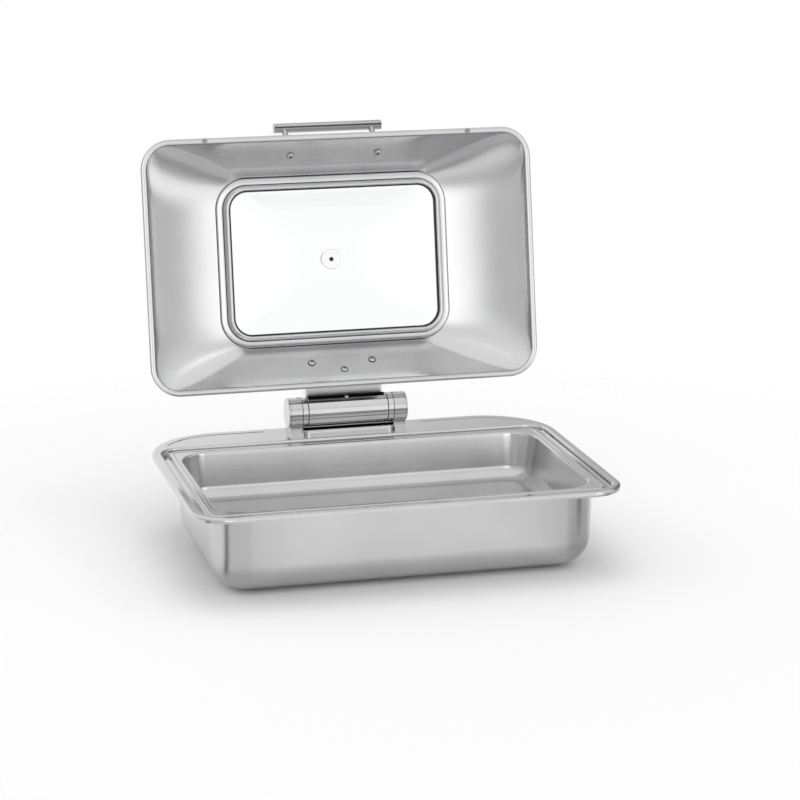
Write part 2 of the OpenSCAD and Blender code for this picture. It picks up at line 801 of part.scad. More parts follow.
// Frame: a shallow band with a low outer edge, a groove, and a rounded step to a lip with a small bead
module window_frame() {
    top = land_under - seat_play;
    lean = asin((band_in - band_soft) / band_r);
    crown = top - band_edge_h - band_r * (1 - cos(lean));
    band = arc([-band_in, crown + band_r], band_r, lean - 90, -90);
    groove = top - groove_depth;
    crown_in = lip_in - small_bead_r;
    step = [for (q = arc([0, 0], 1, 0, 90))
        [lerp(-crown_in, -groove_in, q.x), lerp(groove, lip_low, q.y)]];
    small_bead = arc([-crown_in, lip_low + small_bead_r], small_bead_r, -90, -180);
    color("silver") on_lid() swept(window_line) polygon(concat(
        [[0, top], [0, top - band_edge_h + band_soft]], band, step, small_bead,
        [[-lip_in, lip_top], [-frame_leg, lip_top], [-frame_leg, top]]));
}

module window_gasket() {
    low = lip_top + seat_play;
    color("darkslategray") on_lid() swept(window_line) polygon([
        [-gasket_in, low], [-gasket_lip_in, low], [-gasket_lip_in, glass_low - seat_play],
        [-glass_in + seat_play, glass_low - seat_play], [-glass_in + seat_play, glass_top + seat_play],
        [-lip_in, glass_top + seat_play], [-lip_in, land_under - seat_play],
        [-gasket_in, land_under - seat_play]
    ]);
}

module window_glass() {
    shares = [for (i = [0:dome_n]) i / dome_n];
    edge = [window_l / 2 - glass_in, window_w / 2 - glass_in, window_r - glass_in];
    mouth = edge - [1, 1, 1] * (gasket_lip_in + 1 - glass_in);
    hub = [1, 1, 1] * hub_flat_r;
    hole = [1, 1, 1] * hub_hole_r;
    top = [for (u = shares) glass_ring(mouth, hub, u, glass_top)];
    low = [for (u = shares) glass_ring(mouth, hub, u, glass_low)];
    color("azure", 0.4) on_lid() loft(concat(
        [concat(hole, [glass_top + glass_rise])], reversed(top),
        [concat(edge, [glass_top]), concat(edge, [glass_low])],
        low, [concat(hole, [glass_low + glass_rise])]));
}

// Ring of the domed glass at share u of the way from its flat edge to the hub
function glass_ring(mouth, hub, u, z) =
    concat(lerp(mouth, hub, u), [z + glass_rise * (1 - pow(1 - u, dome_bow))]);

// Hub at the middle of the glass

module hub_cap() {
    base = hub_z + glass_t + hub_seal_t + 2 * seat_play;
    waist = 0.7;
    low_r = 1;
    top_r = 2;
    top_turn = 30;
    color("silver") on_lid() translate([0, 0, base]) difference() {
        rotate_extrude() polygon(concat(
            [[0, 0], [cap_d / 2 - low_r, 0]],
            arc([cap_d / 2 - low_r, low_r], low_r, -90, 0),
            [[cap_d / 2 * waist, cap_h / 2]],
            arc([cap_d / 2 - top_r, cap_h - top_r], top_r, -top_turn, 90),
            [[0, cap_h]]));
        translate([0, 0, -1]) cylinder(d = screw_d + 2 * thread_play, h = thread_depth);
    }
}

module hub_seals() {
    color("dimgray") on_lid() {
        translate([0, 0, hub_z - hub_seal_t - seat_play]) hub_seal();
        translate([0, 0, hub_z + glass_t + seat_play]) hub_seal();
    }
}

module hub_seal() {
    washer(screw_d / 2 + screw_play, hub_d / 2 - 1, hub_seal_t);
}

function hub_disc_z() = hub_z - hub_seal_t - hub_disc_t - 2 * seat_play;

module hub_disc() {
    color("gainsboro") on_lid() translate([0, 0, hub_disc_z()]) rotate_extrude() polygon(concat(
        [[screw_d / 2 + screw_play, hub_disc_t], [screw_d / 2 + screw_play, 0]],
        arc([hub_d / 2 - hub_disc_t / 2, hub_disc_t / 2], hub_disc_t / 2, -90, 0),
        [[hub_d / 2, hub_disc_t]]));
}

module hub_screw() {
    top = hub_z + glass_t + hub_seal_t + thread_depth - 2;
    socket_h = hub_head_h * 0.8;
    color("gray") on_lid() difference() {
        union() {
            translate([0, 0, hub_disc_z() - 1]) cylinder(d = screw_d, h = top - hub_disc_z());
            translate([0, 0, hub_disc_z() - hub_head_h - seat_play])
                cylinder(d1 = hub_head_d - 1, d2 = hub_head_d, h = hub_head_h);
        }
        translate([0, 0, hub_disc_z() - 2 * hub_head_h])
            cylinder(d = hub_head_d / 2, h = hub_head_h + socket_h, $fn = 6);
    }
}

// Handle

module on_posts() {
    on_lid() for (s = [-1, 1]) on_wall(-1, s * handle_pitch / 2, handle_share) children();
}

module handle_bar() {
    color("silver") on_lid() on_wall(-1, 0, handle_share) translate([0, 0, handle_reach]) difference() {
        turned(handle_d / 2, -handle_l / 2, handle_l / 2);
        for (s = [-1, 1]) translate([s * handle_pitch / 2, 0, -handle_d])
            cylinder(d = post_d + 2 * thread_play, h = handle_d * post_share);
    }
}

module handle_posts() {
    foot_gap = 0.15;
    l = handle_reach - handle_d * (1 - post_share) - foot_gap - seat_play;
    color("silver") on_posts() translate([0, 0, foot_gap]) difference() {
        cylinder(d = post_d, h = l);
        translate([0, 0, -1]) cylinder(d = screw_d + 2 * thread_play, h = 2 * thread_depth + 1);
    }
}

module handle_washers() {
    color("lightgray") on_posts()
        translate([0, 0, -wall_skin(handle_share) - head_play - washer_t])
            washer(screw_d / 2 + screw_play, head_d / 2 + 1, washer_t);
}

module handle_screws() {
    low = wall_skin(handle_share) + head_play + washer_t + seat_play;
    color("silver") on_posts() translate([0, 0, -low]) button_screw(low + thread_depth);
}

module lid_bumpers() {
    h = lid_gap_z - bumper_play - seat_play;
    soft = 0.8;
    color("slategray") on_lid() mirrored()
        translate([bumper_pitch / 2, bumper_d / 2 - lid_hy, -h - seat_play]) rotate_extrude() polygon([
            [0, 0], [bumper_d / 2 - soft, 0], [bumper_d / 2, soft], [bumper_d / 2, h], [0, h]
        ]);
}

water_pan();
induction_plate();
food_pan();
hinge_foot();
hinge_pin();
friction_rings();
disc_springs();
hinge_nuts();
hinge_end_caps();
pin_grub_screws();
hinge_foot_screws();
hinge_backing_plate();
hinge_foot_nuts();
hinge_barrel();
hinge_bushes();
lid_bracket();
barrel_plug_screw();
lid_bracket_screws();
lid_shell();
window_frame();
window_gasket();
window_glass();
hub_cap();
hub_seals();
hub_disc();
hub_screw();
handle_bar();
handle_posts();
handle_washers();
handle_screws();
lid_bumpers();
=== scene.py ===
"""Looks of the chafing dish: camera, studio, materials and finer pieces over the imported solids.

Metres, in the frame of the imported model: +X to the right, +Y towards the hinge, +Z up.
Sizes of sheets, rounds and beads are written in millimetres, and the rest comes from the frame.
"""
import json
import math

import bmesh
import bpy
from mathutils import Matrix, Vector


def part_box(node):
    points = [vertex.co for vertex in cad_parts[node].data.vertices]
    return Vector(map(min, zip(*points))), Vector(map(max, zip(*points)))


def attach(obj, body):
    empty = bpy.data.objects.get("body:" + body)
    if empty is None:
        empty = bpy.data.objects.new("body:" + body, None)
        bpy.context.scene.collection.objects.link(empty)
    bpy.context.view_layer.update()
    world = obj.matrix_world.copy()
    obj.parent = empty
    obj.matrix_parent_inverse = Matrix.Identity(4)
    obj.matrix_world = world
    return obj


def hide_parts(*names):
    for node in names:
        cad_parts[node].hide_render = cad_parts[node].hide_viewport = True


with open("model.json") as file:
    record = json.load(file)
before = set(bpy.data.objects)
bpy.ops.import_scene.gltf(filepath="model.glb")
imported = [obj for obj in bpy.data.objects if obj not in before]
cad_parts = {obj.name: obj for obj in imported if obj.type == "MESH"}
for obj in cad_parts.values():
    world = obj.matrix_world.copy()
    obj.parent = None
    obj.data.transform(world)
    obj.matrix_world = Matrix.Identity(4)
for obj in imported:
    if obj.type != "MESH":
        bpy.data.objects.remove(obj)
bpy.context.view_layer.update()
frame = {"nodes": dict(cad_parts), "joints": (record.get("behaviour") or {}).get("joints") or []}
nodes = frame["nodes"]
MM = 0.001

# Steps along corners, rounds, small rounds, walls, turned trim and the hinge's rings
CORNER_STEPS = 28
ROUND_STEPS = 10
SMALL_STEPS = 4
WALL_STEPS = 26
TURN_STEPS = 36
HINGE_STEPS = 96
# Angle from which faces meet in a sharp edge, and distance under which points are one
SHARP = math.radians(38)
WELD = 0.001


# Places in the frame


def box_mm(node):
    """Lowest and highest corner of a node, in millimetres."""
    low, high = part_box(node)
    return low / MM, high / MM


lid_hinge = next(joint for joint in frame["joints"] if joint["name"] == "lid_hinge")
hinge_axis = Vector(lid_hinge["pos_m"]) / MM
lid_open = math.radians(lid_hinge["range_deg"][1])

rim_low, rim_high = box_mm("water_pan")
pan_low, pan_high = box_mm("food_pan")
body_h = rim_high.z

# Gap between the rim and the closed lid's edge, and the lid's place when it stands open
LID_GAP = 3.8
lid_z = body_h + LID_GAP
lid_place = (
    Matrix.Translation(hinge_axis)
    @ Matrix.Rotation(-lid_open, 4, "X")
    @ Matrix.Translation((0, -hinge_axis.y, lid_z - hinge_axis.z))
)


def lid_box(node):
    """Lowest and highest corner of a node in the closed lid's own frame, in millimetres."""
    back = lid_place.inverted()
    places = [back @ (v.co / MM) for v in nodes[node].data.vertices]
    low = Vector(min(p[k] for p in places) for k in range(3))
    high = Vector(max(p[k] for p in places) for k in range(3))
    return low, high


# Shapes


def arc(centre, radius, start, end, steps=ROUND_STEPS):
    """Places along an arc in a section, with its angles in degrees."""
    angles = [math.radians(start + (end - start) * i / steps) for i in range(steps + 1)]
    return [(centre[0] + radius * math.cos(a), centre[1] + radius * math.sin(a)) for a in angles]


def beside(path, distance):
    """The path moved to its left by the same distance all along."""
    places = [Vector(p) for p in path]
    last = len(places) - 1
    moved = []
    for i, place in enumerate(places):
        out = (places[min(i + 1, last)] - places[min(i, last - 1)]).normalized()
        into = (places[max(i, 1)] - places[max(i - 1, 0)]).normalized()
        left = Vector((-out.y, out.x))
        middle = (left + Vector((-into.y, into.x))).normalized()
        moved.append(tuple(place + middle * (distance / middle.dot(left))))
    return moved


def raised(path, z):
    """The path of a section lifted by a height."""
    return [(out, height + z) for out, height in path]


def drawn_wall(height, lean, mouth_r, floor_r):
    """Section of a drawn wall from its mouth at this height down to the floor at 0."""
    tilt = math.atan2(lean, height)
    mouth = mouth_r / math.cos(tilt) - lean * mouth_r / height
    foot = floor_r / math.cos(tilt) + lean * (height - floor_r) / height
    turn = math.degrees(tilt)
    return (
        arc((mouth, height - mouth_r), mouth_r, 90, 180 - turn)
        + arc((-foot, floor_r), floor_r, -turn, -90)
    )


def grown(line, distance):
    """An outline in plan moved outward: half length, front, back, front radius, back radius."""
    half, front, back, front_r, back_r = line
    return half + distance, front - distance, back + distance, front_r + distance, back_r + distance


def ring(line, z):
    """Points of a rounded outline at one height."""
    half, front, back, front_r, back_r = line
    corners = [
        (half - back_r, back - back_r, back_r, 0),
        (back_r - half, back - back_r, back_r, 90),
        (front_r - half, front + front_r, front_r, 180),
        (half - front_r, front + front_r, front_r, 270),
    ]
    flat = [p for x, y, r, a in corners for p in arc((x, y), r, a, a + 90, CORNER_STEPS)]
    return [Vector((x, y, z)) for x, y in flat]


def even_ring(half, side, radius, z):
    """Ring of an outline that is the same in front and at the back."""
    return ring((half, -side, side, radius, radius), z)


def swept(line, path):
    """Rings along a section path, given as distance outward from the outline and height."""
    return [ring(grown(line, out), z) for out, z in path]


def skin(mesh, rings, closed=False):
    """Faces between rings that have the same number of points."""
    rows = [[mesh.verts.new(p) for p in points] for points in rings]
    count = len(rows[0])
    pairs = list(zip(rows, rows[1:] + rows[:1])) if closed else list(zip(rows, rows[1:]))
    for a, b in pairs:
        for i in range(count):
            j = (i + 1) % count
            mesh.faces.new((a[i], a[j], b[j], b[i]))
    return rows


def capped_skin(rings):
    """A new mesh with faces between the rings, and over the first and the last."""
    mesh = bmesh.new()
    rows = skin(mesh, rings)
    mesh.faces.new(rows[0])
    mesh.faces.new(rows[-1])
    return mesh


def closed_skin(rings):
    """A new mesh with faces between the rings, and from the last back to the first."""
    mesh = bmesh.new()
    skin(mesh, rings, closed=True)
    return mesh


def turned(mesh, place, path, steps=TURN_STEPS):
    """Closed ring turned about a place's Z axis, from a section of radius and height."""
    angles = [2 * math.pi * i / steps for i in range(steps)]
    rings = [[place @ Vector((r * math.cos(a), r * math.sin(a), z)) for a in angles] for r, z in path]
    skin(mesh, rings, closed=True)


def plain_object(name, mesh, place=None):
    """A mesh given in millimetres as a smooth object in metres."""
    bmesh.ops.remove_doubles(mesh, verts=mesh.verts, dist=WELD)
    bmesh.ops.recalc_face_normals(mesh, faces=mesh.faces)
    mesh.transform(Matrix.Scale(MM, 4) @ (place or Matrix.Identity(4)))
    data = bpy.data.meshes.new(name)
    mesh.to_mesh(data)
    mesh.free()
    data.polygons.foreach_set("use_smooth", [True] * len(data.polygons))
    made = bpy.data.objects.new(name, data)
    bpy.context.scene.collection.objects.link(made)
    return made


def carve(made, cutters):
    """Cut the cutters out of an object, and delete them."""
    for cutter in cutters:
        cut = made.modifiers.new("cut", "BOOLEAN")
        cut.operation = "DIFFERENCE"
        cut.solver = "EXACT"
        cut.object = cutter
    carved = bpy.data.meshes.new_from_object(made.evaluated_get(bpy.context.evaluated_depsgraph_get()))
    made.modifiers.clear()
    made.data = carved
    for cutter in cutters:
        bpy.data.objects.remove(cutter)


def piece(name, mesh, body, material, replaces=(), place=None, cutters=()):
    """A finished mesh, given in millimetres, as a piece that rides on a body."""
    made = plain_object(name, mesh, place)
    if cutters:
        carve(made, cutters)
    made.data.set_sharp_from_angle(angle=SHARP)
    made.data.materials.clear()
    made.data.materials.append(material)
    weighted = made.modifiers.new("flat_faces", "WEIGHTED_NORMAL")
    weighted.keep_sharp = True
    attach(made, body)
    if replaces:
        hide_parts(*replaces)
    return made


# Camera: the photograph's place and lens, with the picture taken as a square

CAMERA_PLACE = (-0.8592, -3.4158, 1.0960)
CAMERA_RIGHT = Vector((0.9681, -0.2507, -0.0015))
CAMERA_DOWN = Vector((-0.0622, -0.2346, -0.9701))
CAMERA_AHEAD = Vector((0.2432, 0.9391, -0.2427))
LENS = 122.04
SENSOR = 36
CLIP_END = 100


def add_camera():
    """Camera that stands and looks as the photograph's did."""
    data = bpy.data.cameras.new("camera")
    data.lens = LENS
    data.sensor_width = SENSOR
    data.clip_end = CLIP_END
    camera = bpy.data.objects.new("camera", data)
    turn = Matrix((CAMERA_RIGHT, -CAMERA_DOWN, -CAMERA_AHEAD)).transposed()
    camera.matrix_world = Matrix.Translation(CAMERA_PLACE) @ turn.to_4x4()
    bpy.context.scene.collection.objects.link(camera)
    bpy.context.scene.camera = camera


# Shader nodes


def add_node(tree, kind, **settings):
    """A node with its attributes set."""
    node = tree.nodes.new(kind)
    for name, value in settings.items():
        setattr(node, name, value)
    return node


def new_material(name):
    """A material, its node tree and its main shader."""
    material = bpy.data.materials.new(name)
    material.use_nodes = True
    tree = material.node_tree
    return material, tree, tree.nodes["Principled BSDF"]


def own_place(tree):
    """Place in the object's own frame."""
    return add_node(tree, "ShaderNodeTexCoord").outputs["Object"]


def split(tree, place):
    """The three parts of a place or a direction."""
    node = add_node(tree, "ShaderNodeSeparateXYZ")
    tree.links.new(place, node.inputs[0])
    return node.outputs


def length(tree, place):
    """Distance of a place from the middle of its frame."""
    node = add_node(tree, "ShaderNodeVectorMath", operation="LENGTH")
    tree.links.new(place, node.inputs[0])
    return node.outputs["Value"]


def maths(tree, operation, *values):
    """Result of a maths node on sockets or plain numbers."""
    node = add_node(tree, "ShaderNodeMath", operation=operation)
    for socket, value in zip(node.inputs, values):
        if isinstance(value, (int, float)):
            socket.default_value = value
        else:
            tree.links.new(value, socket)
    return node.outputs[0]


def ramp(tree, value, low, high, start=0.0, end=1.0):
    """Smooth change from start to end as a value goes from low to high."""
    node = add_node(tree, "ShaderNodeMapRange", interpolation_type="SMOOTHSTEP")
    node.inputs["From Min"].default_value = low
    node.inputs["From Max"].default_value = high
    node.inputs["To Min"].default_value = start
    node.inputs["To Max"].default_value = end
    tree.links.new(value, node.inputs["Value"])
    return node.outputs[0]


def band(tree, value, limits, soft):
    """1 between two limits in degrees, falling to 0 over a soft edge on either side."""
    low, high = [math.radians(v) for v in limits]
    edge = math.radians(soft)
    rise = ramp(tree, value, low - edge, low + edge)
    fall = ramp(tree, value, high - edge, high + edge, 1.0, 0.0)
    return maths(tree, "MULTIPLY", rise, fall)


def mixed(tree, share, first, second):
    """first where share is 0, second where it is 1."""
    step = maths(tree, "SUBTRACT", second, first)
    return maths(tree, "MULTIPLY_ADD", share, step, first)


def azimuth_of(tree, x, y):
    """Angle in plan from the front, growing to the right."""
    return maths(tree, "ARCTAN2", x, maths(tree, "MULTIPLY", y, -1.0))


def noise(tree, place, scale, detail=2):
    """Cloudy value from 0 to 1 at a place."""
    node = add_node(tree, "ShaderNodeTexNoise")
    node.inputs["Scale"].default_value = scale
    node.inputs["Detail"].default_value = detail
    tree.links.new(place, node.inputs["Vector"])
    return node.outputs["Fac"]


def spread(tree, value, low, high):
    """A value from 0 to 1 spread evenly from low to high."""
    node = add_node(tree, "ShaderNodeMapRange")
    node.inputs["To Min"].default_value = low
    node.inputs["To Max"].default_value = high
    tree.links.new(value, node.inputs["Value"])
    return node.outputs[0]


def tinted(tree, value, low, high, limits=(0, 1)):
    """Colour that goes from low to high as a value goes from one limit to the other."""
    node = add_node(tree, "ShaderNodeValToRGB")
    for element, limit, colour in zip(node.color_ramp.elements, limits, (low, high)):
        element.position = limit
        element.color = (*colour, 1)
    tree.links.new(value, node.inputs["Fac"])
    return node.outputs["Color"]


def matt(tree, tone):
    """Matt shader of an even grey."""
    shader = add_node(tree, "ShaderNodeBsdfDiffuse")
    shader.inputs["Color"].default_value = (tone, tone, tone, 1)
    return shader


def fade_surface(tree, share, first, second):
    """Surface that goes from the first shader to the second as share goes from 0 to 1."""
    mix = add_node(tree, "ShaderNodeMixShader")
    tree.links.new(share, mix.inputs[0])
    tree.links.new(first.outputs[0], mix.inputs[1])
    tree.links.new(second.outputs[0], mix.inputs[2])
    out = add_node(tree, "ShaderNodeOutputMaterial")
    tree.links.new(mix.outputs[0], out.inputs["Surface"])


# World

# Brightness of the sides and overhead, then from left to right below and on the backdrop.
# Metal shows the backdrop so, and the light that it gives is even.
SIDE_GREY = 0.68
TOP_GREY = 1.0
BELOW = (0.5, 1.3)
BACKDROP = (1.03, 0.55)
BACKDROP_LIGHT = 1.0
# Parts of a direction between which one brightness passes into the next
TOP_Z = (0.15, 0.8)
BELOW_X = (-0.6, 0.6)
BELOW_Z = (-0.2, -0.02)
BACKDROP_X = (0.1, 0.36)
BACKDROP_Y = (0.1, 0.6)
# Front panels: brightness between them and on them, and their edges in degrees, with their softness
PANEL_MIDDLE = 1.15
PANEL_BRIGHT = 1.8
PANEL_AZIMUTH = (-23, 47)
PANEL_GAP = (2, 27)
PANEL_HEIGHT = (-6, 26)
PANEL_SOFT = 5
# Dark place: the room behind to the right
DARK_SIDE = 0.25
DARK_SIDE_AZIMUTH = (98, 150)
DARK_SIDE_HEIGHT = (-16, 34)
DARK_SOFT = 10


def seen_rays(tree):
    """1 for rays that see the white background straight or through glass, and 1 for rays off metal."""
    rays = add_node(tree, "ShaderNodeLightPath")
    straight = maths(tree, "MAXIMUM", rays.outputs["Is Camera Ray"], rays.outputs["Is Transmission Ray"])
    return straight, rays.outputs["Is Glossy Ray"]


def patch(tree, azimuth, height, azimuths, heights, soft):
    """1 in a patch of the room between two azimuths and two heights, with soft edges."""
    wide = band(tree, azimuth, azimuths, soft)
    return maths(tree, "MULTIPLY", wide, band(tree, height, heights, soft))


def add_world():
    """White background, soft panels in front, and grey sides, ceiling and backdrop."""
    world = bpy.data.worlds.new("studio")
    world.use_nodes = True
    tree = world.node_tree
    tree.nodes.clear()
    straight, glossy = seen_rays(tree)
    x, y, z = split(tree, add_node(tree, "ShaderNodeTexCoord").outputs["Generated"])
    azimuth = azimuth_of(tree, x, y)
    height = maths(tree, "ARCSINE", z)
    room = ramp(tree, z, *TOP_Z, SIDE_GREY, TOP_GREY)
    below = ramp(tree, x, *BELOW_X, *BELOW)
    room = mixed(tree, ramp(tree, z, *BELOW_Z, 1.0, 0.0), room, below)
    backdrop = mixed(tree, glossy, BACKDROP_LIGHT, ramp(tree, x, *BACKDROP_X, *BACKDROP))
    room = mixed(tree, ramp(tree, y, *BACKDROP_Y), room, backdrop)
    side = patch(tree, azimuth, height, DARK_SIDE_AZIMUTH, DARK_SIDE_HEIGHT, DARK_SOFT)
    room = mixed(tree, side, room, DARK_SIDE)
    gap = band(tree, azimuth, PANEL_GAP, PANEL_SOFT)
    level = mixed(tree, gap, PANEL_BRIGHT, PANEL_MIDDLE)
    panel = patch(tree, azimuth, height, PANEL_AZIMUTH, PANEL_HEIGHT, PANEL_SOFT)
    room = mixed(tree, panel, room, level)
    background = add_node(tree, "ShaderNodeBackground")
    background.inputs["Color"].default_value = (1, 1, 1, 1)
    tree.links.new(mixed(tree, straight, room, 1.0), background.inputs["Strength"])
    out = add_node(tree, "ShaderNodeOutputWorld")
    tree.links.new(background.outputs[0], out.inputs["Surface"])
    bpy.context.scene.world = world


# Floor

FLOOR_SIZE = 6
FLOOR_TONE = 0.9
SHADOW_REACH = (0.5, 1.3)


def add_floor():
    """Pale floor that keeps the shadow near the object and fades into the white further out."""
    mesh = bpy.data.meshes.new("floor")
    h = FLOOR_SIZE / 2
    mesh.from_pydata([(-h, -h, 0), (h, -h, 0), (h, h, 0), (-h, h, 0)], [], [(0, 1, 2, 3)])
    floor = bpy.data.objects.new("floor", mesh)
    bpy.context.scene.collection.objects.link(floor)
    material, tree, _ = new_material("floor")
    tree.nodes.clear()
    share = ramp(tree, length(tree, own_place(tree)), *SHADOW_REACH)
    fade_surface(tree, share, matt(tree, FLOOR_TONE), add_node(tree, "ShaderNodeBsdfTransparent"))
    mesh.materials.append(material)


# Soft lights: azimuth and height in degrees, size in metres, brightness, and whether metal shows them

LAMP_TARGET = Vector((0, 0, 0.25))
LAMP_DISTANCE = 3.2
LAMPS = {
    "right_light": (57, 45, (0.2, 0.24), 3.0, True),
    "left_light": (-21, 55, (0.2, 0.24), 0.8, True),
    "top_light": (0, 90, (2, 2), 1.6, False),
}


def add_softbox(name, azimuth, height, size, radiance, reflected):
    """Soft light panel of even brightness, seen from the object in this direction."""
    turn = math.radians(azimuth)
    lift = math.radians(height)
    away = Vector((math.sin(turn) * math.cos(lift), -math.cos(turn) * math.cos(lift), math.sin(lift)))
    data = bpy.data.lights.new(name, "AREA")
    data.shape = "RECTANGLE"
    data.size, data.size_y = size
    data.energy = radiance * math.pi * size[0] * size[1]
    light = bpy.data.objects.new(name, data)
    light.location = LAMP_TARGET + away * LAMP_DISTANCE
    light.rotation_euler = away.to_track_quat("Z", "Y").to_euler()
    light.visible_glossy = reflected
    bpy.context.scene.collection.objects.link(light)


def add_lights():
    """All soft lights of the studio."""
    for name, settings in LAMPS.items():
        add_softbox(name, *settings)


# Dark flags: sectors on the floor that only reflections show, so that the front corners read as edges

# Middle of the front corners' rounds in plan
FLAG_X = 209
FLAG_Y = -107
# Each flag: its corner, its azimuth, half width and softness in degrees, its depth,
# and the distances in metres between which it fades in
FLAGS = (
    (-1, -68, 5, 7, 0.95, (0.03, 0.12)),
    (-1, -32, 42, 16, 0.22, (0.0, 0.1)),
    (1, 60, 7, 7, 0.85, (0.1, 0.4)),
    (1, 62, 48, 22, 0.45, (0.0, 0.1)),
)
FLAG_TONE = 0.03
FLAG_REACH = 520
FLAG_STEPS = 8
# Height of the lowest flag above the floor, and of each one above the last
FLAG_LIFT = 0.5
FLAG_APART = 0.2


def flag_material(name, azimuth, half, soft, depth, fade):
    """Dark between two azimuths, fading to clear at its sides and towards its tip."""
    material, tree, _ = new_material(name)
    tree.nodes.clear()
    place = own_place(tree)
    x, y, _ = split(tree, place)
    sector = band(tree, azimuth_of(tree, x, y), (azimuth - half, azimuth + half), soft)
    share = maths(tree, "MULTIPLY", sector, depth)
    share = maths(tree, "MULTIPLY", share, ramp(tree, length(tree, place), *fade))
    fade_surface(tree, share, add_node(tree, "ShaderNodeBsdfTransparent"), matt(tree, FLAG_TONE))
    return material


def hang_flag(name, mesh, place):
    """A dark flag of the studio, which only reflections show."""
    flag = bpy.data.objects.new(name, mesh)
    flag.location = place
    bpy.context.scene.collection.objects.link(flag)
    flag.visible_camera = False
    flag.visible_diffuse = False
    flag.visible_shadow = False
    flag.visible_transmission = False


def add_flags():
    """All dark flags, each a fan round its centre, one just above the other."""
    reach = FLAG_REACH * MM
    for i, (side, azimuth, half, soft, depth, fade) in enumerate(FLAGS):
        whole = half + soft
        corners = [(0, 0, 0)]
        for k in range(FLAG_STEPS + 1):
            angle = math.radians(azimuth - whole + 2 * whole * k / FLAG_STEPS)
            corners.append((reach * math.sin(angle), -reach * math.cos(angle), 0))
        name = f"flag_{i}"
        mesh = bpy.data.meshes.new(name)
        mesh.from_pydata(corners, [], [tuple(range(len(corners)))])
        mesh.materials.append(flag_material(name, azimuth, half, soft, depth, fade))
        lift = FLAG_LIFT + FLAG_APART * i
        hang_flag(name, mesh, (side * FLAG_X * MM, FLAG_Y * MM, lift * MM))


# Dark card in front of the handle: its ends along X, its place along Y, and its heights

CARD_X = (-90, 110)
CARD_Y = 262
CARD_Z = (545, 600)
CARD_TONE = 0.12


def add_card():
    """Dark card that gives the handle a dark line."""
    low, high = CARD_Z
    corners = [(CARD_X[0], low), (CARD_X[1], low), (CARD_X[1], high), (CARD_X[0], high)]
    mesh = bpy.data.meshes.new("card")
    mesh.from_pydata([(x * MM, CARD_Y * MM, z * MM) for x, z in corners], [], [(0, 1, 2, 3)])
    material, _, shader = new_material("card")
    shader.inputs["Base Color"].default_value = (CARD_TONE, CARD_TONE, CARD_TONE, 1)
    shader.inputs["Roughness"].default_value = 1
    mesh.materials.append(material)
    hang_flag("card", mesh, (0, 0, 0))


# Steel

# Grain: its scale along each axis where it is drawn along X or has no direction, its detail and depth
GRAIN_X = (14, 900, 900)
GRAIN_NONE = (500, 500, 500)
GRAIN_DETAIL = 3
GRAIN_DEPTH = 0.0005
# Smudges: their scale, and the shares of the tone that they pass between at two limits
SMUDGE_SCALE = 11
SMUDGE_TONES = (0.96, 1.03)
SMUDGE_LIMITS = (0.3, 0.7)
# Change of roughness by the grain of smooth steel
SMOOTH_ROUGH = 0.02


def painted_shade_before(tree, place, colour, direction, low, high, left):
    """The colour with painted shade: only a share of it left before two distances along a direction."""
    along = add_node(tree, "ShaderNodeVectorMath", operation="DOT_PRODUCT")
    along.inputs[1].default_value = direction
    tree.links.new(place, along.inputs[0])
    shaded = add_node(tree, "ShaderNodeVectorMath", operation="SCALE")
    tree.links.new(colour, shaded.inputs[0])
    tree.links.new(ramp(tree, along.outputs["Value"], low, high, left, 1.0), shaded.inputs["Scale"])
    return shaded.outputs[0]


def steel(
    name, tone, rough, grain,
    grain_rough=0.05, grain_bump=0.02, smudge=0.03,
    polish=None, hem=None,
):
    """Stainless steel: fine grain drawn out along one direction, under faint soft smudges.

    polish gives two heights in metres between which the roughness falls, and the share that is left.
    hem gives painted shade on the lid's folded edge: a direction, two distances along it in metres
    between which the tone rises to its own, and the share of it before them.
    """
    material, tree, shader = new_material(name)
    shader.inputs["Metallic"].default_value = 1
    place = own_place(tree)
    drawn = add_node(tree, "ShaderNodeMapping")
    drawn.inputs["Scale"].default_value = grain
    tree.links.new(place, drawn.inputs["Vector"])
    lines = noise(tree, drawn.outputs[0], 1, GRAIN_DETAIL)
    clouds = noise(tree, place, SMUDGE_SCALE)

    grain_part = spread(tree, lines, rough - grain_rough, rough + grain_rough)
    roughness = maths(tree, "ADD", grain_part, spread(tree, clouds, -smudge, smudge))
    if polish:
        low, high, left = polish
        height = split(tree, place)["Z"]
        roughness = maths(tree, "MULTIPLY", roughness, ramp(tree, height, low, high, 1.0, left))
    tree.links.new(roughness, shader.inputs["Roughness"])

    dark, light = [tuple(v * share for v in tone) for share in SMUDGE_TONES]
    colour = tinted(tree, clouds, dark, light, SMUDGE_LIMITS)
    # Painted shade on the lid's folded edge
    if hem:
        colour = painted_shade_before(tree, place, colour, *hem)
    tree.links.new(colour, shader.inputs["Base Color"])

    bump = add_node(tree, "ShaderNodeBump")
    bump.inputs["Strength"].default_value = grain_bump
    bump.inputs["Distance"].default_value = GRAIN_DEPTH
    tree.links.new(lines, bump.inputs["Height"])
    tree.links.new(bump.outputs[0], shader.inputs["Normal"])
    return material


def smooth_steel(name, tone, rough, smudge):
    """Turned or polished steel, whose grain can't be felt."""
    return steel(name, tone, rough, GRAIN_NONE, SMOOTH_ROUGH, 0.0, smudge)


# Silicone: scale of its clouds, shares of its tone, and its roughness

RUBBER_SCALE = 300
RUBBER_TONES = (0.85, 1.15)
RUBBER_ROUGH = (0.5, 0.65)


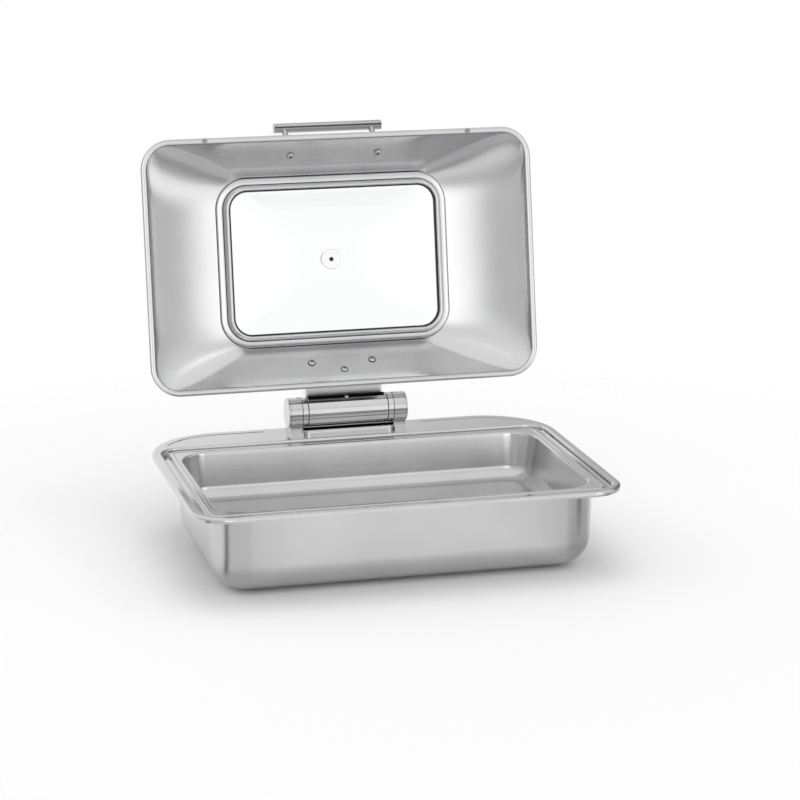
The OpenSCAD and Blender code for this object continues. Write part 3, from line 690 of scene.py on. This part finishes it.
def rubber(name, tone, shine=0.2):
    """Silicone: matt, with a faint cloudy unevenness."""
    material, tree, shader = new_material(name)
    shader.inputs["Specular IOR Level"].default_value = shine
    clouds = noise(tree, own_place(tree), RUBBER_SCALE)
    dark, light = [tuple(v * share for v in tone) for share in RUBBER_TONES]
    tree.links.new(tinted(tree, clouds, dark, light), shader.inputs["Base Color"])
    tree.links.new(spread(tree, clouds, *RUBBER_ROUGH), shader.inputs["Roughness"])
    return material


# Glass: index, scale of its clouds, roughness and tints

GLASS_INDEX = 1.48
GLASS_SCALE = 14
GLASS_ROUGH = (0.0, 0.02)
GLASS_TINTS = ((0.96, 0.968, 0.968), (0.98, 0.985, 0.985))


def clear_glass(name):
    """Tempered glass: clear, with the faintest cloudiness in its polish."""
    material, tree, shader = new_material(name)
    shader.inputs["Transmission Weight"].default_value = 1
    shader.inputs["IOR"].default_value = GLASS_INDEX
    clouds = noise(tree, own_place(tree), GLASS_SCALE)
    tree.links.new(spread(tree, clouds, *GLASS_ROUGH), shader.inputs["Roughness"])
    tree.links.new(tinted(tree, clouds, *GLASS_TINTS), shader.inputs["Base Color"])
    return material


# Materials of the dish

SATIN = (0.6, 0.6, 0.605)
BRIGHT = (0.63, 0.63, 0.635)
# Polished rims: two heights in metres, and the share of the roughness that is left above them
BODY_POLISH = (0.1, 0.112, 0.5)
PAN_POLISH = (0.108, 0.116, 0.5)
# Painted shade on the lid's folded edge, which is darker than the rest of the lid: its share of the
# tone, and the heights on the lid where it ends
HEM_PAINTED_SHADE = 0.86
HEM_FADE = (1.4, 2.2)

lid_axis = lid_place.to_3x3() @ Vector((0, 0, 1))
hem_start = lid_axis.dot(lid_place.translation)
hem_heights = [(hem_start + z) * MM for z in HEM_FADE]
lid_hem_painted_shade = (lid_axis, *hem_heights, HEM_PAINTED_SHADE)

body_steel = steel("body_steel", (0.61, 0.61, 0.615), 0.2, GRAIN_X, polish=BODY_POLISH)
pan_steel = steel("pan_steel", SATIN, 0.22, GRAIN_X, polish=PAN_POLISH)
# The lid's steel, with painted shade on its folded edge
lid_steel = steel("lid_steel", (0.67, 0.67, 0.675), 0.23, GRAIN_X, hem=lid_hem_painted_shade)
frame_steel = steel("frame_steel", SATIN, 0.2, GRAIN_X)
# Steel of the handle and its posts, with its tone set darker than the other satin steels as painted
# shade
handle_steel = steel("handle_steel", (0.5, 0.5, 0.505), 0.18, GRAIN_X)
polished_steel = smooth_steel("polished_steel", BRIGHT, 0.05, 0.01)
disc_steel = smooth_steel("disc_steel", (0.82, 0.82, 0.82), 0.16, 0.02)
bracket_steel = smooth_steel("bracket_steel", (0.9, 0.9, 0.9), 0.3, 0.02)
foot_steel = smooth_steel("foot_steel", SATIN, 0.06, 0.01)
screw_steel = smooth_steel("screw_steel", (0.52, 0.52, 0.525), 0.14, 0.02)
plate_steel = steel("plate_steel", (0.45, 0.45, 0.46), 0.4, GRAIN_X)
# Dark steel of the hub screw, also the painted shade in the screw sockets
dark_steel_and_painted_shade = steel("dark_steel_and_painted_shade", (0.06, 0.06, 0.06), 0.5, GRAIN_NONE)
bronze = steel("bronze", (0.6, 0.42, 0.2), 0.3, GRAIN_X)
# Dark silicone of the window's gasket and the hub's seals, also the painted shade in the frame's crease,
# round the screw heads and in the hinge's joints
silicone = rubber("silicone", (0.03, 0.03, 0.033))
# Black of the painted shade along the bracket's foot
painted_shade_black = rubber("painted_shade_black", (0.008, 0.008, 0.008), 0.05)
bumper_silicone = rubber("bumper_silicone", (0.3, 0.3, 0.3))
window_glass = clear_glass("window_glass")


# Water pan

SHEET = 1.5
SEAT_DEPTH = 7.5
SEAT_GAP_X = 11
SEAT_GAP_Y = 9
SEAT_LAP = 7.5
SEAT_R = 30
SEAT_LEAN = 1
WELL_R = 48
WELL_FLOOR_R = 40
WELL_LEAN = 3
RIM_FRONT_R = 52
RIM_BACK_R = 103
LIP_H = 7
LIP_ROUND = 4
MOUTH_ROUND = 3

pan_half = pan_high.x
pan_side = pan_high.y
seat_half = pan_half + SEAT_GAP_X
seat_side = pan_side + SEAT_GAP_Y
well_half = pan_half - SEAT_LAP
well_side = pan_side - SEAT_LAP
rim_line = (rim_high.x, rim_low.y, rim_high.y, RIM_FRONT_R, RIM_BACK_R)
seat_line = (seat_half, -seat_side, seat_side, SEAT_R, SEAT_R)
well_line = (well_half, -well_side, well_side, WELL_R, WELL_R)

# Panels pressed into the back land: margins round them, depth, corner radius, and their flanks
# below the land, at it, and above it where the cutter stands clear
LAND_MARGIN = 14
LAND_PANEL_DEPTH = 0.7
LAND_PANEL_R = 6
FLANK_IN = 0.5
FLANK_OUT = 0.2
FLANK_CLEAR = 1


def panel_cutter(side, low_x):
    """Tapered block that presses one panel into the land beside the hinge."""
    centre = (rim_high.x - RIM_BACK_R, rim_high.y - RIM_BACK_R)
    low_y = seat_side + LAND_MARGIN
    middle_x = low_x + LAND_PANEL_R
    high_y = rim_high.y - LAND_MARGIN - LAND_PANEL_R
    flank = (
        (-FLANK_IN, -LAND_PANEL_DEPTH),
        (FLANK_OUT, 0),
        (FLANK_OUT + FLANK_CLEAR, FLANK_CLEAR),
    )
    rings = []
    for out, lift in flank:
        radius = RIM_BACK_R - LAND_MARGIN + out
        small = LAND_PANEL_R + out
        start = math.degrees(math.asin((low_y - out - centre[1]) / radius))
        points = arc((middle_x, low_y + LAND_PANEL_R), small, 180, 270)
        points += arc(centre, radius, start, 90, CORNER_STEPS)
        points += arc((middle_x, high_y), small, 90, 180)
        rings.append([Vector((side * x, y, body_h + lift)) for x, y in points])
    return plain_object("panel_cutter", capped_skin(rings))


def make_water_pan():
    """Deep-drawn pan: well, stepped seat, land with two pressed panels, and a turned-down rim."""
    floor_z = rim_low.z + SHEET
    seat_z = body_h - SEAT_DEPTH
    well = raised(drawn_wall(seat_z - floor_z, WELL_LEAN, MOUTH_ROUND, WELL_FLOOR_R), floor_z)
    seat = raised(drawn_wall(SEAT_DEPTH, SEAT_LEAN, MOUTH_ROUND, MOUTH_ROUND), seat_z)
    lip = raised(arc((-LIP_ROUND, -LIP_ROUND), LIP_ROUND, 90, 0) + [(0, -LIP_H)], body_h)
    upper = swept(well_line, well[::-1]) + swept(seat_line, seat[::-1]) + swept(rim_line, lip)
    lower = (
        swept(rim_line, beside(lip, -SHEET)[::-1])
        + swept(seat_line, beside(seat, SHEET))
        + swept(well_line, beside(well, SHEET))
    )
    mesh = capped_skin(upper + lower)
    hinge_end = box_mm("hinge_end_caps")[1].x
    cutters = [panel_cutter(side, hinge_end + 2 * LAND_MARGIN) for side in (-1, 1)]
    piece("water_pan_pressed", mesh, "base", body_steel, ("water_pan",), cutters=cutters)


# Food pan

PAN_SHEET = 1
PAN_RIM_R = 15
PAN_FLOOR_R = 20
PAN_LEAN = 10
WELL_GAP = 5
# Rim: height and round of its edge, and its step: height, distance from the edge, softness and round
PAN_EDGE = 5
PAN_EDGE_R = 2
PAN_STEP = 0.8
PAN_STEP_W = 5.5
PAN_STEP_SOFT = 0.6
PAN_STEP_ROUND = 0.2


def make_food_pan():
    """Drawn pan with a stepped rim that turns down at its edge."""
    rim_z = pan_high.z
    floor_z = pan_low.z + PAN_SHEET
    mouth_h = rim_z - PAN_STEP - floor_z
    mouth_line = grown(well_line, -WELL_GAP)
    edge_line = (pan_half, -pan_side, pan_side, PAN_RIM_R, PAN_RIM_R)
    wall = raised(drawn_wall(mouth_h, PAN_LEAN, MOUTH_ROUND, PAN_FLOOR_R), floor_z)
    foot = -PAN_STEP_W - PAN_STEP
    edge = [
        (foot - PAN_STEP_SOFT, -PAN_STEP),
        (foot, -PAN_STEP * (1 - PAN_STEP_ROUND)),
        (-PAN_STEP_W, -PAN_STEP * PAN_STEP_ROUND),
        (-PAN_STEP_W + PAN_STEP_SOFT, 0),
    ]
    edge += arc((-PAN_EDGE_R, -PAN_EDGE_R), PAN_EDGE_R, 90, 0) + [(0, -PAN_EDGE)]
    edge = raised(edge, rim_z)
    upper = swept(mouth_line, wall[::-1]) + swept(edge_line, edge)
    lower = swept(edge_line, beside(edge, -PAN_SHEET)[::-1]) + swept(mouth_line, beside(wall, PAN_SHEET))
    piece("food_pan_drawn", capped_skin(upper + lower), "food_pan", pan_steel, ("food_pan",))


# Lid

LID_R = 42
HIP_SWELL = 26
FRONT_BOW = 1.2
SIDE_BOW = 1.9
LIP_IN = 17.6
WINDOW_R = 44
# Folded edge: width, thickness, round, lap under the wall, play at its inner side, and steps round it
HEM_W = 8
HEM_T = 2.4
HEM_SOFT = 0.7
HEM_LAP = 1
HEM_PLAY = 0.05
HEM_STEPS = 30
# Shares of the wall's height, with one close to the window so that the crease there stays crisp
CREASE_SHARE = 0.993
WALL_SHARES = [i / WALL_STEPS for i in range(WALL_STEPS)] + [CREASE_SHARE, 1]
# Bulge of the back wall near the window: where it starts, where it is full, and how far it reaches
BULGE_START = 0.3
BULGE_FULL = 0.8
BULGE = 1

_, lid_high = lid_box("lid_shell")
frame_low, frame_high = lid_box("window_frame")
land_z = lid_high.z
window_half = frame_high.x
window_side = frame_high.y
window_line = (window_half, -window_side, window_side, WINDOW_R, WINDOW_R)


def window_inset(inset):
    """Half length, half width and corner radius of the window's outline, set in by a distance."""
    return window_half - inset, window_side - inset, WINDOW_R - inset


def back_bulge(share):
    """How far the back wall bulges at a share of its height."""
    if share > BULGE_FULL:
        return BULGE * math.cos(math.pi / 2 * (share - BULGE_FULL) / (1 - BULGE_FULL))
    k = max(0, (share - BULGE_START) / (BULGE_FULL - BULGE_START))
    return BULGE * k * k * (3 - 2 * k)


def wall_ring(share, drop):
    """Ring of the lid's wall at a share of its height."""
    x = HEM_W + (lid_high.x - HEM_W - window_half) * share ** SIDE_BOW
    y = HEM_W + (lid_high.y - HEM_W - window_side) * share ** FRONT_BOW
    radius = (LID_R - HEM_W) * (1 - share) + WINDOW_R * share + HIP_SWELL * math.sin(math.pi * share)
    z = HEM_T + (land_z - HEM_T) * share - drop
    back = lid_high.y - y + back_bulge(share)
    return ring((lid_high.x - x, y - lid_high.y, back, radius, radius), z)


def edge_ring(inset, z):
    """Ring of the lid's folded edge, set in from its outline."""
    return even_ring(lid_high.x - inset, lid_high.y - inset, LID_R - inset, z)


def make_lid_shell():
    """Pressed lid: land round the window, bowed walls with swelling corners, and a folded edge."""
    mouth = window_inset(LIP_IN)
    half = HEM_W / 2 - HEM_PLAY
    crown = HEM_T - HEM_SOFT
    edge = [(HEM_W - HEM_LAP, HEM_T)] + arc((HEM_SOFT, crown), HEM_SOFT, 90, 180, SMALL_STEPS)
    for i in range(1, HEM_STEPS + 1):
        turn = math.pi * i / HEM_STEPS
        edge.append((half * (1 - math.cos(turn)), crown * (1 - math.sin(turn))))
    rings = [even_ring(*mouth, land_z)]
    rings += [wall_ring(u, 0) for u in reversed(WALL_SHARES)]
    rings += [edge_ring(inset, z) for inset, z in edge]
    rings += [wall_ring(u, SHEET) for u in WALL_SHARES]
    rings.append(even_ring(*mouth, land_z - SHEET))
    piece("lid_pressed", closed_skin(rings), "lid", lid_steel, ("lid_shell",), lid_place)


# Window frame: its section, inward from its edge and down from the land

CREASE = 0.8
BAND_EDGE_H = 2.4
BAND_SOFT = 1
BAND_SOFT_STEPS = 5
BAND_IN = 9.2
BAND_R = 26
# Degrees by which the band's round runs on at both ends
BAND_RUN = 2
STEP_OUT = 0.5
STEP_R = 0.6
STEP_TURN = (-100, -170)
GROOVE_IN = 9.8
GROOVE_DEPTH = 1.6
SMALL_BEAD_R = 2.6
FRAME_LIP = 0.3
FRAME_LEG = 13.8


def make_window_frame():
    """Frame with a broad band, a groove and a small bead, and a leg up to the land."""
    top = frame_high.z
    low = frame_low.z
    lip_top = low + SMALL_BEAD_R + FRAME_LIP
    lean = math.degrees(math.asin((BAND_IN - BAND_SOFT) / BAND_R))
    crown = top - BAND_EDGE_H - BAND_R * (1 - math.cos(math.radians(lean)))
    soft = (-CREASE - BAND_SOFT, top - BAND_EDGE_H + BAND_SOFT)
    path = [(-CREASE, top)]
    path += arc(soft, BAND_SOFT, 0, lean - 90, BAND_SOFT_STEPS)
    path += arc((-BAND_IN, crown + BAND_R), BAND_R, lean - 90 - BAND_RUN, BAND_RUN - 90)
    path += arc((-BAND_IN + STEP_OUT, crown + STEP_R), STEP_R, *STEP_TURN, SMALL_STEPS)
    groove = top - GROOVE_DEPTH
    crown_in = LIP_IN - SMALL_BEAD_R
    for along, down in arc((0, 0), 1, 0, 90, 2 * ROUND_STEPS):
        path.append((-crown_in + (crown_in - GROOVE_IN) * along, groove + (low - groove) * down))
    path += arc((-crown_in, low + SMALL_BEAD_R), SMALL_BEAD_R, -90, -180)[1:]
    path += [(-LIP_IN, lip_top), (-FRAME_LEG, lip_top), (-FRAME_LEG, top)]
    mesh = closed_skin(swept(window_line, path))
    piece("window_frame_beaded", mesh, "lid", frame_steel, ("window_frame",), lid_place)


# Painted shade in the frame's crease, a thin dark strip: width, thickness, lap over the wall, and play
# under the land

CREASE_SHADE_W = 1.4
CREASE_SHADE_T = 1
CREASE_SHADE_LAP = 0.2
CREASE_SHADE_PLAY = 0.1


def make_frame_crease_shade():
    """Thin dark strip in the crease between the lid's wall and the frame: painted shade of the crease.
    """
    high = frame_high.z - CREASE_SHADE_PLAY
    low = frame_high.z - CREASE_SHADE_T
    wide = CREASE_SHADE_W
    path = [(CREASE_SHADE_LAP, high), (-wide / 3, low), (-wide, low), (-wide, high)]
    piece("frame_crease_painted_shade", closed_skin(swept(window_line, path)), "lid", silicone, place=lid_place)


# Window glass

GLASS_T = 3.9
GLASS_RISE = 24
GLASS_IN = 15.1
GLASS_MOUTH_IN = 20.6
DOME_BOW = 1.6
HUB_FLAT_R = 16
HUB_HOLE_R = 4


def dome(mouth, z):
    """Rings of the dome from its mouth at this height up to the flat round the hub."""
    rings = []
    for i in range(WALL_STEPS + 1):
        share = i / WALL_STEPS
        sizes = [m + (HUB_FLAT_R - m) * share for m in mouth]
        rings.append(even_ring(*sizes, z + GLASS_RISE * (1 - (1 - share) ** DOME_BOW)))
    return rings


def make_window_glass():
    """Domed pane with a flat edge, and a hole at its middle."""
    low, _ = lid_box("window_glass")
    under = low.z
    over = under + GLASS_T
    edge = window_inset(GLASS_IN)
    mouth = window_inset(GLASS_MOUTH_IN)
    hole = (HUB_HOLE_R,) * 3
    rings = [even_ring(*hole, over + GLASS_RISE)] + dome(mouth, over)[::-1]
    rings += [even_ring(*edge, over), even_ring(*edge, under)]
    rings += dome(mouth, under) + [even_ring(*hole, under + GLASS_RISE)]
    mesh = closed_skin(rings)
    piece("window_glass_domed", mesh, "lid", window_glass, ("window_glass",), lid_place)


# Painted shade at the screws through the lid's walls: dark rings round the heads and dark fillings in
# the sockets

HEAD_R = 4.75
HEAD_H = 2.6
HEAD_PLAY = 0.2
SOCKET_R = 1.9
SOCKET_DEPTH = 1.56
SOCKET_SIDES = 6
WASHER_T = 1.02
# Each screw: its wall, place along it, share of its height, and washer
LID_SCREWS = (
    (1, -44, 0.57, 0), (1, 0, 0.36, 0), (1, 44, 0.57, 0),
    (-1, -63, 0.46, WASHER_T), (-1, 63, 0.46, WASHER_T),
)
# Painted shade round a head, a dark ring: section radius, its middle outside the head and under the
# wall, and its sides
HEAD_SHADE_R = 0.6
HEAD_SHADE_OUT = 0.1
HEAD_SHADE_IN = 0.3
HEAD_SHADE_SIDES = 12
# Painted shade in a socket, a dark filling: play in it, hole at its middle, and how far its rim and
# middle lie below the face
FILL_PLAY = 0.02
FILL_HOLE_R = 0.05
FILL_RIM = 0.4
FILL_MIDDLE = 0.5


def screw_place(side, x, share):
    """Place on the outside of the lid's front or back wall, +Z out of the wall, and the wall's tilt."""
    run = lid_high.y - HEM_W - window_side
    rise = land_z - HEM_T
    tilt = math.atan2(run * FRONT_BOW * share ** (FRONT_BOW - 1), rise)
    y = lid_high.y - HEM_W - run * share ** FRONT_BOW
    place = Matrix.Translation((x, side * y, HEM_T + rise * share))
    return place @ Matrix.Rotation(-side * (math.pi / 2 - tilt), 4, "X"), tilt


def make_screw_painted_shade():
    """Painted shade: dark rings round the heads that have no washer, and dark fillings of all sockets.
    """
    head_shades = bmesh.new()
    fillings = bmesh.new()
    last = HEAD_SHADE_SIDES - 1
    wide = SOCKET_R - FILL_PLAY
    for side, x, share, washer in LID_SCREWS:
        place, tilt = screw_place(side, x, share)
        wall = -SHEET * math.sin(tilt)
        if not washer:
            middle = (HEAD_R + HEAD_SHADE_OUT, wall - HEAD_SHADE_IN)
            turned(head_shades, place, arc(middle, HEAD_SHADE_R, 0, 360 * last / HEAD_SHADE_SIDES, last))
        face = wall - HEAD_PLAY - washer - HEAD_H
        deep = face + SOCKET_DEPTH
        filling = [
            (FILL_HOLE_R, deep), (wide, deep),
            (wide, face + FILL_RIM), (FILL_HOLE_R, face + FILL_MIDDLE),
        ]
        turned(fillings, place, filling, SOCKET_SIDES)
    piece("screw_head_painted_shade", head_shades, "lid", silicone, place=lid_place)
    piece("screw_socket_painted_shade", fillings, "lid", dark_steel_and_painted_shade, place=lid_place)


# Painted shade in the joints of the hinge

JOINT_DEEP = 1.4
# At the barrel's ends and at the knuckles: how far the ring stands out, and half its width
BARREL_JOINT = (-0.18, 0.5)
KNUCKLE_JOINT = (0.05, 0.3)
# Distance of the first ring from the barrel's end
JOINT_GAP = 0.15

barrel_low, barrel_high = box_mm("hinge_barrel")
barrel_r = (barrel_high.z - barrel_low.z) / 2


def make_joint_painted_shade():
    """Dark rings low in the joints between the barrel, the friction rings and the knuckles: painted
    shade in these gaps.
    """
    along = Matrix.Rotation(math.pi / 2, 4, "Y")
    inner = barrel_high.x + JOINT_GAP
    outer = box_mm("friction_rings")[1].x
    deep = barrel_r - JOINT_DEEP
    mesh = bmesh.new()
    for x, (out, half) in ((inner, BARREL_JOINT), (outer, KNUCKLE_JOINT)):
        path = [(deep, -half), (barrel_r + out, -half), (barrel_r + out, half), (deep, half)]
        for side in (-1, 1):
            place = Matrix.Translation((side * x, hinge_axis.y, hinge_axis.z)) @ along
            turned(mesh, place, path, HINGE_STEPS)
    piece("hinge_joint_painted_shade", mesh, "base", silicone)


# Painted shade along the foot of the bracket, where it meets the barrel: a black strip

SHADE_STRIP_END = 1
# Its section from back to front: how far it reaches under the bracket, its height there,
# the width of its top, its slope down to the barrel, and its front edge
SHADE_STRIP_BACK = 1
SHADE_STRIP_H = 1.8
SHADE_STRIP_TOP_W = 0.5
SHADE_STRIP_SLOPE = (3, 0.6)
SHADE_STRIP_CROWN = 0.4
SHADE_STRIP_FRONT = -8
SHADE_STRIP_FRONT_H = 0.15
SHADE_STRIP_TAPER = 0.2
SHADE_STRIP_SUNK = 0.3


def round_height(radius, y):
    """Height of a round bar's surface above its axis, at a distance from it in plan."""
    return math.sqrt(radius ** 2 - y ** 2)


def make_bracket_painted_shade():
    """Black strip of painted shade in the corner between the barrel's top and the bracket's front face,
    which the barrel's top also shows as a dark reflection.
    """
    bracket_low, bracket_high = box_mm("lid_bracket")
    face = bracket_low.y - hinge_axis.y
    back = face + SHADE_STRIP_BACK
    sunk = barrel_r - SHADE_STRIP_SUNK
    path = [
        (back, barrel_r + SHADE_STRIP_H),
        (face - SHADE_STRIP_TOP_W, barrel_r + SHADE_STRIP_H),
        (face - SHADE_STRIP_SLOPE[0], barrel_r + SHADE_STRIP_SLOPE[1]),
        (0, barrel_r + SHADE_STRIP_CROWN),
        (SHADE_STRIP_FRONT, round_height(barrel_r, SHADE_STRIP_FRONT) + SHADE_STRIP_FRONT_H),
        (SHADE_STRIP_FRONT + SHADE_STRIP_TAPER, round_height(sunk, SHADE_STRIP_FRONT)),
        (back, round_height(sunk, back)),
    ]
    ends = (bracket_low.x + SHADE_STRIP_END, bracket_high.x - SHADE_STRIP_END)
    rings = [[Vector((x, hinge_axis.y + y, hinge_axis.z + z)) for y, z in path] for x in ends]
    piece("bracket_painted_shade", capped_skin(rings), "lid", painted_shade_black)


# Materials of the solids, also of those that a finer piece replaces

NODE_MATERIALS = {
    "induction_plate": plate_steel,
    "hinge_foot": foot_steel,
    "hinge_pin": polished_steel,
    "friction_rings": polished_steel,
    "disc_springs": plate_steel,
    "hinge_nuts": plate_steel,
    "hinge_end_caps": polished_steel,
    "pin_grub_screws": plate_steel,
    "hinge_foot_screws": polished_steel,
    "hinge_backing_plate": plate_steel,
    "hinge_foot_nuts": polished_steel,
    "hinge_barrel": polished_steel,
    "hinge_bushes": bronze,
    "lid_bracket": bracket_steel,
    "barrel_plug_screw": screw_steel,
    "lid_bracket_screws": screw_steel,
    "window_gasket": silicone,
    "hub_cap": polished_steel,
    "hub_seals": silicone,
    "hub_disc": disc_steel,
    "hub_screw": dark_steel_and_painted_shade,
    "handle_bar": handle_steel,
    "handle_posts": handle_steel,
    "handle_washers": bumper_silicone,
    "handle_screws": screw_steel,
    "lid_bumpers": bumper_silicone,
    "water_pan": body_steel,
    "food_pan": pan_steel,
    "lid_shell": lid_steel,
    "window_frame": frame_steel,
    "window_glass": window_glass,
}


def dress_nodes():
    """Give every solid its material."""
    for name, material in NODE_MATERIALS.items():
        data = nodes[name].data
        data.materials.clear()
        data.materials.append(material)


add_camera()
add_world()
add_floor()
add_lights()
add_flags()
add_card()
make_water_pan()
make_food_pan()
make_lid_shell()
make_window_frame()
make_frame_crease_shade()
make_window_glass()
make_screw_painted_shade()
make_joint_painted_shade()
make_bracket_painted_shade()
dress_nodes()

bpy.context.scene.view_settings.view_transform = "Standard"
